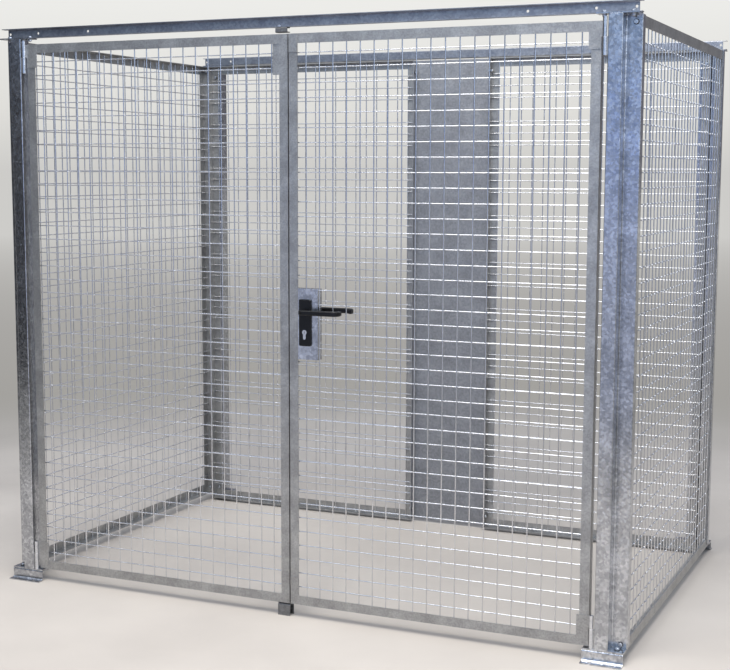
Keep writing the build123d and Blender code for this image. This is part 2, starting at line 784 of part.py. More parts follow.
with BuildPart() as lock_case:
    with BuildSketch(Plane.YZ.offset(case_left)):
        with Locations((lock_y, case_level)):
            Rectangle(case_thickness, case_height)
    extrude(amount=case_depth)
    with BuildSketch(Plane.YZ.offset(lock_left)):
        with Locations((lock_y, case_level)):
            Rectangle(face_strip_width, face_strip_height)
    extrude(amount=face_strip)
    with BuildSketch(Plane.YZ.offset(case_left + case_sheet)):
        with Locations((lock_y, case_level)):
            Rectangle(case_thickness - 2 * case_sheet, case_height - 2 * case_sheet)
    extrude(amount=case_depth - 2 * case_sheet, mode=Mode.SUBTRACT)
    extrude(bolt_slots(lock_left, sliding_gap), amount=face_strip + case_sheet, mode=Mode.SUBTRACT)
    with BuildSketch(Plane.XZ.offset(-lock_y - case_thickness / 2)):
        with Locations((lever_x, lever_level)):
            Circle(hub_journal / 2 + turning_gap)
    extrude(amount=case_thickness, mode=Mode.SUBTRACT)
    case_back = Plane.XZ.offset(-lock_y - case_thickness / 2)
    extrude(cylinder_outline(case_back, turning_gap), amount=case_thickness, mode=Mode.SUBTRACT)
lock_case.part.label = "lock_case"
export_step(lock_case.part, "parts/lock_case.step")

with BuildPart() as outer_lock_plate:
    with BuildSketch(Plane.XZ.offset(-leaf_y)):
        with Locations((lever_x, plate_level)):
            RectangleRounded(plate_width, plate_height, plate_corner)
    extrude(amount=plate_thickness)
    chamfer(outer_lock_plate.faces().sort_by(Axis.Y)[0].edges(), plate_bevel)
    with BuildSketch(Plane.XZ.offset(-leaf_y)):
        with Locations((lever_x, lever_level)):
            Circle(neck / 2 + turning_gap)
    extrude(amount=plate_thickness, mode=Mode.SUBTRACT)
    cylinder_hole = cylinder_outline(Plane.XZ.offset(-leaf_y), turning_gap)
    extrude(cylinder_hole, amount=plate_thickness, mode=Mode.SUBTRACT)
outer_lock_plate.part.label = "outer_lock_plate"
export_step(outer_lock_plate.part, "parts/outer_lock_plate.step")
inner_lock_plate = mirrored(outer_lock_plate.part, (leaf_middle,))
inner_lock_plate.label = "inner_lock_plate"
export_step(inner_lock_plate, "parts/inner_lock_plate.step")

# ---------------------------------------------------------------- cylinder and its plug
cylinder_front = Plane.XZ.offset(-leaf_y + plate_thickness + cylinder_proud)
cylinder_length = leaf_leg + 2 * (plate_thickness + cylinder_proud)

with BuildPart() as lock_cylinder:
    extrude(cylinder_outline(cylinder_front, 0), amount=-cylinder_length)
    with BuildSketch(cylinder_front):
        with Locations((lever_x, cylinder_level)):
            Circle(plug / 2 + turning_gap)
    extrude(amount=-cylinder_length, mode=Mode.SUBTRACT)
lock_cylinder.part.label = "lock_cylinder"
export_step(lock_cylinder.part, "parts/lock_cylinder.step")

with BuildPart() as cylinder_plug:
    with BuildSketch(cylinder_front):
        with Locations((lever_x, cylinder_level)):
            Circle(plug / 2)
    extrude(amount=-cylinder_length)
    with BuildSketch(cylinder_front, cylinder_front.offset(keyway_depth - cylinder_length)):
        with Locations((lever_x, cylinder_level)):
            Rectangle(keyway_width, keyway_height)
    extrude(amount=-keyway_depth, mode=Mode.SUBTRACT)
cylinder_plug.part.label = "cylinder_plug"
export_step(cylinder_plug.part, "parts/cylinder_plug.step")

# ---------------------------------------------------------------- levers, spindle and hub
neck_start_y = leaf_y - sliding_gap
grip_start_y = leaf_y - plate_thickness - neck_collar
grip_y = leaf_y - grip_standoff
tip_x = lever_x + grip_length

with BuildPart() as lever_grip:
    with BuildSketch(Plane.XY.offset(lever_level - grip_height / 2)):
        with BuildLine():
            FilletPolyline(
                (lever_x + grip_thickness / 2, grip_start_y),
                (lever_x + grip_thickness / 2, grip_y + grip_thickness / 2),
                (tip_x - grip_thickness / 2, grip_y + grip_thickness / 2),
                (tip_x - grip_thickness / 2, grip_y + grip_return),
                radius=grip_bend,
            )
            offset(amount=grip_thickness, side=Side.RIGHT)
        make_face()
    extrude(amount=grip_height)
    grip_faces = lever_grip.faces().sort_by(Axis.Z)
    chamfer(grip_faces[0].edges() + grip_faces[-1].edges(), grip_bevel)

with BuildPart() as outer_lever:
    with BuildSketch(Plane.XZ.offset(-neck_start_y)):
        with Locations((lever_x, lever_level)):
            Circle(neck / 2)
    extrude(amount=neck_start_y - grip_start_y)
    add(lever_grip.part)
    with BuildSketch(Plane.XZ.offset(-neck_start_y)):
        with Locations((lever_x, lever_level)):
            Rectangle(spindle + 2 * turning_gap, spindle + 2 * turning_gap)
    extrude(amount=socket, mode=Mode.SUBTRACT)
outer_lever.part.label = "outer_lever"
export_step(outer_lever.part, "parts/outer_lever.step")
inner_lever = mirrored(outer_lever.part, (leaf_middle,))
inner_lever.label = "inner_lever"
export_step(inner_lever, "parts/inner_lever.step")

spindle_half = leaf_leg / 2 + socket
with BuildPart() as lever_spindle:
    with BuildSketch(leaf_middle):
        with Locations((lever_x, lever_level)):
            Rectangle(spindle, spindle)
    extrude(amount=spindle_half, both=True)
lever_spindle.part.label = "lever_spindle"
export_step(lever_spindle.part, "parts/lever_spindle.step")

with BuildPart() as lever_hub:
    with BuildSketch(Plane.XZ.offset(-lock_y)):
        with Locations((lever_x, lever_level)):
            Circle(hub / 2)
    extrude(amount=bolt_thickness / 2, both=True)
    with BuildSketch(Plane.XZ.offset(-lock_y)):
        with Locations((lever_x, lever_level)):
            Circle(hub_journal / 2)
    extrude(amount=case_thickness / 2, both=True)
    with BuildSketch(Plane.XZ.offset(-lock_y)):
        with Locations((lever_x, lever_level)):
            Rectangle(spindle + 2 * turning_gap, spindle + 2 * turning_gap)
    extrude(amount=case_thickness / 2, both=True, mode=Mode.SUBTRACT)
lever_hub.part.label = "lever_hub"
export_step(lever_hub.part, "parts/lever_hub.step")

# ---------------------------------------------------------------- latch and deadbolt
with BuildPart() as latch_bolt:
    with BuildSketch(Plane.XY.offset(lever_level - latch_height / 2)):
        with Locations((edge_x - latch_nose, lock_y)):
            Rectangle(latch_nose + latch_tail, bolt_thickness, align=(Align.MIN, Align.CENTER))
    extrude(amount=latch_height)
    nose_edges = latch_bolt.edges().filter_by(Axis.Z).group_by(Axis.X)[0]
    chamfer(nose_edges.sort_by(Axis.Y)[-1], latch_bevel)
latch_bolt.part.label = "latch_bolt"
export_step(latch_bolt.part, "parts/latch_bolt.step")

with BuildPart() as deadbolt:
    with BuildSketch(Plane.XY.offset(dead_level - dead_height / 2)):
        with Locations((edge_x, lock_y)):
            Rectangle(dead_tail, bolt_thickness, align=(Align.MIN, Align.CENTER))
    extrude(amount=dead_height)
deadbolt.part.label = "deadbolt"
export_step(deadbolt.part, "parts/deadbolt.step")

with BuildPart() as strike_plate:
    with BuildSketch(Plane.YZ.offset(-edge_x - leaf_bar)):
        with Locations((wires_back_y, case_level)):
            Rectangle(leaf_back_y - wires_back_y, strike_height, align=(Align.MIN, Align.CENTER))
    extrude(amount=-strike_sheet)
    extrude(bolt_slots(-edge_x - leaf_bar, strike_play), amount=-strike_sheet, mode=Mode.SUBTRACT)
strike_plate.part.label = "strike_plate"
export_step(strike_plate.part, "parts/strike_plate.step")

# ---------------------------------------------------------------- meeting tabs
with BuildPart() as meeting_tabs:
    with BuildSketch(Plane.XZ.offset(-leaf_y)):
        with Locations((edge_x, leaf_top)):
            Rectangle(leaf_leg, top_tab_height, align=(Align.MIN, Align.MAX))
        with Locations((edge_x, leaf_bottom + bottom_tab_rise)):
            Rectangle(leaf_leg, bottom_tab_height, align=(Align.MIN, Align.MIN))
    extrude(amount=tab_sheet)
meeting_tabs.part.label = "meeting_tabs"
export_step(meeting_tabs.part, "parts/meeting_tabs.step")

# ---------------------------------------------------------------- shoot bolts, guides and keepers
plate_back_y = leaf_y + leaf_bar + bolt_plate_sheet
guide_back_y = rod_y + rod / 2 + guide_wall
top_guides = [leaf_top - guide_inset - step * guide_spacing for step in (0, 1)]
bottom_guides = [leaf_bottom + guide_inset + step * guide_spacing for step in (0, 1)]


def guide_blocks(levels, block_front_y):
    """Blocks that the rod slides through, centred on the given levels."""
    with BuildPart() as blocks:
        for level in levels:
            with BuildSketch(Plane.XY.offset(level)):
                with Locations((rod_x, block_front_y)):
                    Rectangle(guide_width, guide_back_y - block_front_y, align=(Align.CENTER, Align.MIN))
                with Locations((rod_x, rod_y)):
                    Circle(rod / 2 + turning_gap, mode=Mode.SUBTRACT)
            extrude(amount=guide_height / 2, both=True)
    return blocks.part


top_blocks = guide_blocks(top_guides, plate_back_y)
with BuildPart() as top_bolt_guide:
    with BuildSketch(Plane.XZ.offset(-leaf_y - leaf_bar)):
        with Locations((-edge_x - bolt_plate_edge, leaf_top - bolt_plate_inset)):
            Rectangle(bolt_plate_width, bolt_plate_height, align=(Align.MAX, Align.MAX))
    extrude(amount=-bolt_plate_sheet)
    add(top_blocks)
top_bolt_guide.part.label = "top_bolt_guide"
export_step(top_bolt_guide.part, "parts/top_bolt_guide.step")

bottom_bolt_guide = guide_blocks(bottom_guides, leaf_y + leaf_bar)
bottom_bolt_guide.label = "bottom_bolt_guide"
export_step(bottom_bolt_guide, "parts/bottom_bolt_guide.step")


def shoot_bolt(end, tail, peg_level):
    """Rod between two levels with the peg that moves it."""
    with BuildPart() as rod_part:
        with BuildSketch(Plane.XY.offset(tail)):
            with Locations((rod_x, rod_y)):
                Circle(rod / 2)
        extrude(amount=end - tail)
        with BuildSketch(Plane.XZ.offset(-rod_y)):
            with Locations((rod_x, peg_level)):
                Circle(rod_peg / 2)
        extrude(amount=-rod / 2 - peg_length)
    return rod_part.part


top_end = leaf_top - rod_rest
bottom_end = leaf_bottom + rod_rest
peg_from_guide = guide_height / 2 + rod_peg / 2 + peg_stop
top_shoot_bolt = shoot_bolt(top_end, top_end - rod_length, top_guides[1] + peg_from_guide)
top_shoot_bolt.label = "top_shoot_bolt"
export_step(top_shoot_bolt, "parts/top_shoot_bolt.step")
bottom_shoot_bolt = shoot_bolt(bottom_end, bottom_end + rod_length, bottom_guides[1] - peg_from_guide)
bottom_shoot_bolt.label = "bottom_shoot_bolt"
export_step(bottom_shoot_bolt, "parts/bottom_shoot_bolt.step")

keeper_x = rod_x - keeper_shift
with BuildPart() as top_keeper:
    with BuildSketch(Plane.YZ.offset(keeper_x)):
        with BuildLine():
            FilletPolyline(
                (web_y, rail_bottom),
                (web_y - rail_flange, rail_bottom),
                (web_y - rail_flange, rail_bottom - keeper_drop),
                (web_y, rail_bottom - keeper_drop),
                radius=keeper_fold,
            )
            offset(amount=keeper_sheet, side=Side.LEFT)
        make_face()
    extrude(amount=keeper_width / 2, both=True)
    extrude(rod_circle(rail_bottom - keeper_drop + keeper_sheet), amount=-keeper_sheet, mode=Mode.SUBTRACT)
    with BuildSketch(Plane.XY.offset(rail_bottom)):
        with Locations((keeper_bolt_x, rail_bolt_y)):
            RegularPolygon(bolt_hole / 2, shank_sides)
    extrude(amount=-keeper_sheet, mode=Mode.SUBTRACT)
top_keeper.part.label = "top_keeper"
export_step(top_keeper.part, "parts/top_keeper.step")

socket_x = rod_x - socket_shift
socket_height = leaf_bottom - socket_gap
with BuildPart() as floor_keeper:
    with BuildSketch(Plane.YZ.offset(socket_x)):
        with BuildLine():
            FilletPolyline(
                (rod_y - socket_depth / 2, 0),
                (rod_y - socket_depth / 2, socket_height),
                (rod_y + socket_depth / 2, socket_height),
                (rod_y + socket_depth / 2, 0),
                radius=socket_fold,
            )
            offset(amount=socket_sheet, side=Side.RIGHT)
        make_face()
    extrude(amount=socket_width / 2, both=True)
    extrude(rod_circle(socket_height), amount=-socket_sheet, mode=Mode.SUBTRACT)
floor_keeper.part.label = "floor_keeper"
export_step(floor_keeper.part, "parts/floor_keeper.step")
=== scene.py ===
import json
import math

import bpy
from mathutils import Matrix, Vector


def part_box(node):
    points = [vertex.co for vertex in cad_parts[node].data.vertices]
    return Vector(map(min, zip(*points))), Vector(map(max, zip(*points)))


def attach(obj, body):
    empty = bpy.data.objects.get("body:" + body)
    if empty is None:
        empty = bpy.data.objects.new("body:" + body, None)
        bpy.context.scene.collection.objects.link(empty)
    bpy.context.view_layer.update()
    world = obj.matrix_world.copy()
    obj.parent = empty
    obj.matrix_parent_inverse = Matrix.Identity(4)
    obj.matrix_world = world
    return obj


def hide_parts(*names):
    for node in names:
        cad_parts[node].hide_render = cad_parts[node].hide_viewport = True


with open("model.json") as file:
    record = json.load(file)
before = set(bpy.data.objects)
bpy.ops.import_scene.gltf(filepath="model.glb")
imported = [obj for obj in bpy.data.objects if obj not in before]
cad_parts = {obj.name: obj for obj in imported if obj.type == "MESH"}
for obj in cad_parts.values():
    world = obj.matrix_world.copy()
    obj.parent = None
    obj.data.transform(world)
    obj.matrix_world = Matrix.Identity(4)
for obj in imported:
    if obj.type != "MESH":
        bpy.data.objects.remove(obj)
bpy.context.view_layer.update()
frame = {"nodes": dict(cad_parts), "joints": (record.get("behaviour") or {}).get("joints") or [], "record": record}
record = frame["record"]
bodyOf = {node: body for body, nodes in record["behaviour"]["bodies"].items() for node in nodes}
print("frame loaded:", len(frame["nodes"]), "nodes")

mm = 0.001


# colours and nodes
def colour(code):
    # sRGB hex to the linear values that Blender's sockets take
    channels = [int(code[start:start + 2], 16) / 255 for start in (0, 2, 4)]
    linear = [c / 12.92 if c <= 0.04045 else ((c + 0.055) / 1.055) ** 2.4 for c in channels]
    return (*linear, 1.0)


def addNode(tree, kind, settings=None, links=None):
    # a setting is a ramp's tones, a property in small letters, or an input by its shown name or its number
    node = tree.nodes.new(kind)
    for name, value in (settings or {}).items():
        if name == "tones":
            stops = node.color_ramp.elements
            while len(stops) < len(value):
                stops.new(0.5)
            for stop, (position, code) in zip(stops, value):
                stop.position = position
                stop.color = colour(code)
        elif str(name)[0].islower():
            setattr(node, name, value)
        else:
            node.inputs[name].default_value = value
    for name, socket in (links or {}).items():
        tree.links.new(socket, node.inputs[name])
    return node


def newMaterial(name, settings):
    material = bpy.data.materials.new(name)
    material.use_nodes = True
    shader = material.node_tree.nodes["Principled BSDF"]
    for key, value in settings.items():
        shader.inputs[key].default_value = value
    return material, material.node_tree, shader


# materials: pattern sizes and bump depths in mm, tones as (place, hex) pairs, roughness as (least, most)
def finishSurface(tree, shader, look, tone, gloss, height):
    # three grey patterns become the colour, the roughness and the relief
    ramp = addNode(tree, "ShaderNodeValToRGB", {"tones": look["tones"]}, {"Fac": tone})
    tree.links.new(ramp.outputs["Color"], shader.inputs["Base Color"])
    least, most = look["rough"]
    rough = addNode(tree, "ShaderNodeMapRange", {"To Min": least, "To Max": most}, {"Value": gloss})
    tree.links.new(rough.outputs["Result"], shader.inputs["Roughness"])
    bump = addNode(tree, "ShaderNodeBump", {"Strength": look["bump"], "Distance": look["depth"] * mm},
                   {"Height": height})
    tree.links.new(bump.outputs["Normal"], shader.inputs["Normal"])


def hotDipZinc(name, look):
    # steel dipped in molten zinc, which freezes as flat crystals: the eye gets facets that each mirror the
    # light a little differently, clouds where the coat is thicker, and faint upright runs where it drained
    material, tree, shader = newMaterial(name, {"Metallic": look["metal"]})
    place = addNode(tree, "ShaderNodeTexCoord").outputs["Object"]
    crystalScale = 1 / (look["spangle"] * mm)
    wander = addNode(tree, "ShaderNodeTexNoise", {"Scale": crystalScale, "Detail": 2.0}, {"Vector": place})
    bent = addNode(tree, "ShaderNodeMix",
                   {"data_type": "VECTOR", "Factor": look["wander"] * look["spangle"]},
                   {"A": place, "B": wander.outputs["Color"]})
    crystals = addNode(tree, "ShaderNodeTexVoronoi", {"Scale": crystalScale}, {"Vector": bent.outputs[1]})
    facet = addNode(tree, "ShaderNodeSeparateColor", None, {"Color": crystals.outputs["Color"]})
    clouds = addNode(tree, "ShaderNodeTexNoise",
                     {"Scale": 1 / (look["cloud"] * mm), "Detail": 4.0, "Roughness": 0.6},
                     {"Vector": place})
    drawnOut = addNode(tree, "ShaderNodeMapping", {"Scale": (1.0, 1.0, look["runStretch"])},
                       {"Vector": place})
    runs = addNode(tree, "ShaderNodeTexNoise", {"Scale": 1 / (look["run"] * mm), "Detail": 3.0},
                   {"Vector": drawnOut.outputs["Vector"]})
    clouded = addNode(tree, "ShaderNodeMath", {"operation": "MULTIPLY_ADD", 1: look["contrast"]},
                      {0: facet.outputs["Red"], 2: clouds.outputs["Fac"]})
    streaked = addNode(tree, "ShaderNodeMath", {"operation": "MULTIPLY_ADD", 1: look["streak"]},
                       {0: runs.outputs["Fac"], 2: clouded.outputs["Value"]})
    darkest, brightest = look["reach"]
    scaled = addNode(tree, "ShaderNodeMapRange",
                     {"From Min": darkest, "From Max": brightest + look["contrast"] + look["streak"]},
                     {"Value": streaked.outputs["Value"]})
    grain = addNode(tree, "ShaderNodeTexNoise", {"Scale": 1 / (look["grain"] * mm), "Detail": 3.0},
                    {"Vector": place})
    relief = addNode(tree, "ShaderNodeMath", {"operation": "MULTIPLY_ADD", 1: look["facetRelief"]},
                     {0: facet.outputs["Blue"], 2: grain.outputs["Fac"]})
    finishSurface(tree, shader, look, scaled.outputs["Result"], facet.outputs["Green"],
                  relief.outputs["Value"])
    return material


def thinCoat(name, look):
    # smooth drawn, rolled or turned metal under a thin coat: soft patches of tone and gloss, and a grain,
    # drawn coarser than the real one so that it shows, which breaks up the highlights
    material, tree, shader = newMaterial(name, {"Metallic": look["metal"]})
    place = addNode(tree, "ShaderNodeTexCoord").outputs["Object"]
    patches = addNode(tree, "ShaderNodeTexNoise", {"Scale": 1 / (look["patch"] * mm), "Detail": 3.0},
                      {"Vector": place})
    grain = addNode(tree, "ShaderNodeTexNoise", {"Scale": 1 / (look["grain"] * mm), "Detail": 2.0},
                    {"Vector": place})
    finishSurface(tree, shader, look, patches.outputs["Fac"], patches.outputs["Fac"], grain.outputs["Fac"])
    return material


def mouldedNylon(name, look):
    # glass-filled polyamide from a spark-eroded mould: black with a soft sheen, a fine even grain, and
    # smoother patches where hands have rubbed it
    material, tree, shader = newMaterial(name, {
        "Metallic": 0.0, "IOR": look["ior"], "Specular IOR Level": look["specular"]})
    place = addNode(tree, "ShaderNodeTexCoord").outputs["Object"]
    handled = addNode(tree, "ShaderNodeTexNoise", {"Scale": 1 / (look["handled"] * mm), "Detail": 3.0},
                      {"Vector": place})
    grain = addNode(tree, "ShaderNodeTexVoronoi", {"Scale": 1 / (look["grain"] * mm)}, {"Vector": place})
    finishSurface(tree, shader, look, handled.outputs["Fac"], handled.outputs["Fac"],
                  grain.outputs["Distance"])
    return material


zincLook = {
    "metal": 0.95,
    "spangle": 8.0, "wander": 0.0005, "facetRelief": 0.5,   # the crystals, and how far their edges wander
    "cloud": 90.0, "run": 14.0, "runStretch": 0.12,         # a run's width, and its width to its length
    "grain": 0.8,
    "contrast": 0.45, "streak": 0.25,                       # the facets' and the runs' share in the tone
    "reach": (0.2, 0.75),
    "bump": 0.5, "depth": 0.15, "rough": (0.12, 0.26),
}
coatLook = {"metal": 0.95, "grain": 0.5, "bump": 0.15, "depth": 0.1}
materials = {
    # posts, feet, end plates, lock box: large bright crystals, glossy enough to take the windows' blue
    "post": hotDipZinc("hotDipZincPost", {
        **zincLook, "tones": ((0.0, "787A7F"), (0.5, "B0B2B6"), (1.0, "ECEEF2"))}),
    # rails: the same bath, greyer and half as glossy
    "rail": hotDipZinc("hotDipZincRail", {
        **zincLook, "spangle": 7.0, "rough": (0.30, 0.44),
        "tones": ((0.0, "77797E"), (0.5, "989AA0"), (1.0, "B8BABF"))}),
    # keepers: zinc drawn darker and duller than the rest
    "keeper": hotDipZinc("darkerZincKeeper", {
        **zincLook, "rough": (0.42, 0.58),
        "tones": ((0.0, "5C5C5C"), (0.5, "7A7A7A"), (1.0, "969696"))}),
    # filler sheet: thin strip coated in the mill, with small even crystals and a matt face
    "sheet": hotDipZinc("hotDipZincSheet", {
        **zincLook, "spangle": 6.0, "rough": (0.42, 0.58),
        "tones": ((0.0, "7C7D7F"), (0.5, "97989B"), (1.0, "B0B1B4"))}),
    # frames, hinge straps, tabs and guides: dipped after welding, so the coat is thicker, duller and even
    "angle": hotDipZinc("hotDipZincAngle", {
        **zincLook, "metal": 0.85, "spangle": 4.0, "cloud": 60.0, "contrast": 0.3, "streak": 0.15,
        "rough": (0.32, 0.46), "tones": ((0.0, "7C7B7A"), (0.5, "A09F9D"), (1.0, "C4C3C0"))}),
    # mesh: drawn wire with a thin bright coat, so each wire carries one sharp glint
    "wire": thinCoat("galvanisedDrawnWire", {
        **coatLook, "metal": 1.0, "patch": 30.0, "grain": 0.6, "bump": 0.2, "rough": (0.14, 0.26),
        "tones": ((0.0, "C4C5C8"), (0.5, "D8D9DC"), (1.0, "ECEDEF"))}),
    # bolts, nuts and the lever's spindle: electroplated, bluish white and smooth
    "fastener": thinCoat("zincPlatedSteel", {
        **coatLook, "patch": 6.0, "grain": 0.4, "rough": (0.20, 0.34),
        "tones": ((0.0, "9FA2A6"), (0.5, "C4C7CC"), (1.0, "E2E4E8"))}),
    # hinge barrels: plated and rubbed bright
    "hinge": thinCoat("zincPlatedHingeSteel", {
        **coatLook, "patch": 12.0, "bump": 0.12, "rough": (0.16, 0.28),
        "tones": ((0.0, "B9BBC0"), (0.5, "D2D4D8"), (1.0, "E8E9EC"))}),
    # lock parts: plated and passivated, with a slight yellow cast
    "lockSteel": thinCoat("zincPlatedLockSteel", {
        **coatLook, "patch": 18.0, "rough": (0.26, 0.40),
        "tones": ((0.0, "A7A695"), (0.5, "C2C0AC"), (1.0, "D9D8C8"))}),
    # washers: painted shade, a near-black steel colour that draws the dark ring of shadow round each bolt
    "washer": thinCoat("washerPaintedShadow", {
        **coatLook, "metal": 0.4, "patch": 6.0, "grain": 0.4, "rough": (0.36, 0.52),
        "tones": ((0.0, "141517"), (0.5, "1E2023"), (1.0, "2C2E31"))}),
    # cylinder: nickel plate on turned brass, a warm mirror
    "nickel": thinCoat("nickelPlatedBrass", {
        **coatLook, "metal": 1.0, "patch": 8.0, "grain": 0.3, "bump": 0.08, "rough": (0.16, 0.26),
        "tones": ((0.0, "C6C6C4"), (0.5, "DCDCDA"), (1.0, "F0F0EE"))}),
    # levers and lock plates: black, with a soft sheen
    "nylon": mouldedNylon("blackGlassFilledNylon", {
        "ior": 1.53, "specular": 0.3, "handled": 40.0, "grain": 0.7, "bump": 0.3, "depth": 0.05,
        "rough": (0.26, 0.42), "tones": ((0.0, "040405"), (0.6, "09090B"), (1.0, "111114"))}),
}
# by the last word of a node's name, which says what it is, or by the whole name
nodeFinish = {
    "post": "post", "foot": "post", "plates": "post", "box": "post", "rail": "rail", "keeper": "keeper",
    "sheet": "sheet", "frame": "angle", "pins": "angle", "sleeves": "angle", "tabs": "angle",
    "guide": "angle", "mesh": "wire", "bolts": "fastener", "spindle": "fastener", "case": "lockSteel",
    "hub": "lockSteel", "bolt": "lockSteel", "deadbolt": "lockSteel", "strike_plate": "lockSteel",
    "plate": "nylon", "lever": "nylon", "cylinder": "nickel", "plug": "nickel",
}


def finishOf(node):
    return materials[nodeFinish.get(node) or nodeFinish[node.split("_")[-1]]]


for node, solid in frame["nodes"].items():
    solid.data.materials.clear()
    solid.data.materials.append(finishOf(node))
print("materials on the frame")

# modelling helpers
merging = {"within": 0.01 * mm, "flatAngle": 1}                     # degrees
rounding = {"segments": 2, "sharpAngle": 35, "smoothAngle": 50}     # degrees


def selectNothing():
    if bpy.context.object and bpy.context.object.mode != "OBJECT":
        bpy.ops.object.mode_set(mode="OBJECT")
    bpy.ops.object.select_all(action="DESELECT")


def selectOnly(piece):
    selectNothing()
    piece.select_set(True)
    bpy.context.view_layer.objects.active = piece


def joinPieces(pieces, name):
    selectOnly(pieces[0])
    for piece in pieces:
        piece.select_set(True)
    bpy.ops.object.join()
    pieces[0].name = name
    pieces[0].data.name = name
    return pieces[0]


def addArray(piece, count, step):
    selectOnly(piece)
    array = piece.modifiers.new("row", "ARRAY")
    array.use_relative_offset = False
    array.use_constant_offset = True
    array.constant_offset_displace = step
    array.count = count
    bpy.ops.object.modifier_apply(modifier=array.name)


def finishPiece(piece, node):
    # the piece stands for that node: its body and finish are the node's
    selectOnly(piece)
    bpy.ops.object.transform_apply(location=True, rotation=True, scale=True)
    if not piece.data.materials:
        piece.data.materials.append(finishOf(node))
    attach(piece, bodyOf[node])
    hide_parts(node)


def copyOf(node, name):
    # the CAD mesh is loose triangles, so its copy is merged, and flat faces are made whole again
    source = frame["nodes"][node]
    piece = bpy.data.objects.new(name, source.data.copy())
    piece.data.name = name
    bpy.context.scene.collection.objects.link(piece)
    selectOnly(piece)
    if piece.data.has_custom_normals:
        bpy.ops.mesh.customdata_custom_splitnormals_clear()
    bpy.ops.object.mode_set(mode="EDIT")
    bpy.ops.mesh.select_all(action="SELECT")
    bpy.ops.mesh.remove_doubles(threshold=merging["within"])
    bpy.ops.mesh.dissolve_limited(angle_limit=math.radians(merging["flatAngle"]))
    bpy.ops.object.mode_set(mode="OBJECT")
    return piece


def roundEdges(piece, radius):
    selectOnly(piece)
    bevel = piece.modifiers.new("edges", "BEVEL")
    bevel.width = radius
    bevel.segments = rounding["segments"]
    bevel.limit_method = "ANGLE"
    bevel.angle_limit = math.radians(rounding["sharpAngle"])
    bpy.ops.object.modifier_apply(modifier=bevel.name)
    bpy.ops.object.shade_smooth_by_angle(angle=math.radians(rounding["smoothAngle"]))
    weighting = piece.modifiers.new("flatFaces", "WEIGHTED_NORMAL")   # the wide faces stay flat
    weighting.keep_sharp = True
    bpy.ops.object.modifier_apply(modifier=weighting.name)


def cutBox(piece, low, high):
    selectNothing()
    bpy.ops.mesh.primitive_cube_add(size=1.0, location=(low + high) / 2)
    cutter = bpy.context.object
    cutter.scale = high - low
    selectOnly(piece)
    cut = piece.modifiers.new("cut", "BOOLEAN")
    cut.operation = "DIFFERENCE"
    cut.object = cutter
    bpy.ops.object.modifier_apply(modifier=cut.name)
    bpy.data.objects.remove(cutter)


def deleteInside(piece, low, high):
    selectOnly(piece)
    for vertex in piece.data.vertices:
        vertex.select = all(low[i] < vertex.co[i] < high[i] for i in range(3))
    bpy.ops.object.mode_set(mode="EDIT")
    bpy.ops.mesh.select_mode(type="VERT")
    bpy.ops.mesh.delete(type="VERT")
    bpy.ops.object.mode_set(mode="OBJECT")


# welded mesh
meshLook = {
    "diameter": 4.0 * mm, "pitch": 50.0 * mm, "sides": 10,
    "endBevel": 0.5 * mm, "smoothAngle": 40,                     # degrees
    "nugget": {"wide": 3.4 * mm, "tall": 3.4 * mm, "thick": 2.6 * mm},
    "bar": 3.0 * mm,                                             # how thick the angle bars round it are
    "cutRoom": 0.5 * mm,                                         # from cut wires to what they make way for
}
# leg is how wide the angle bars are, and extra is 1 where an upright stands at each end of the opening
panels = {
    "right_leaf_mesh": {"leg": 32 * mm, "extra": 0, "cutFor": "lock_box"},
    "left_leaf_mesh": {"leg": 32 * mm, "extra": 0},
    "right_side_mesh": {"leg": 35 * mm, "extra": 1},
    "left_side_mesh": {"leg": 35 * mm, "extra": 1},
    "back_left_mesh": {"leg": 35 * mm, "extra": 1},
    "back_right_mesh": {"leg": 35 * mm, "extra": 1},
}
turnTo = {"X": (0, math.pi / 2, 0), "Y": (math.pi / 2, 0, 0), "Z": (0, 0, 0)}


def roundWire(length, axis, centre):
    # a rod with both its ends bevelled
    selectNothing()
    bpy.ops.mesh.primitive_cylinder_add(vertices=meshLook["sides"], radius=meshLook["diameter"] / 2,
                                        depth=length, location=centre, rotation=turnTo[axis])
    wire = bpy.context.object
    selectOnly(wire)
    bpy.ops.object.transform_apply(location=True, rotation=True, scale=True)
    bpy.ops.object.mode_set(mode="EDIT")
    bpy.ops.mesh.select_mode(type="FACE")
    bpy.ops.mesh.select_all(action="DESELECT")
    bpy.ops.object.mode_set(mode="OBJECT")
    for face in wire.data.polygons:
        face.select = len(face.vertices) == meshLook["sides"]
    bpy.ops.object.mode_set(mode="EDIT")
    bpy.ops.mesh.bevel(offset=meshLook["endBevel"], segments=1, affect="EDGES")
    bpy.ops.object.mode_set(mode="OBJECT")
    bpy.ops.object.shade_smooth_by_angle(angle=math.radians(meshLook["smoothAngle"]))
    return wire


def wiresThatFit(opening):
    hair = 0.001 * mm   # so that an opening of whole pitches isn't rounded down
    return int((opening + hair) // meshLook["pitch"])


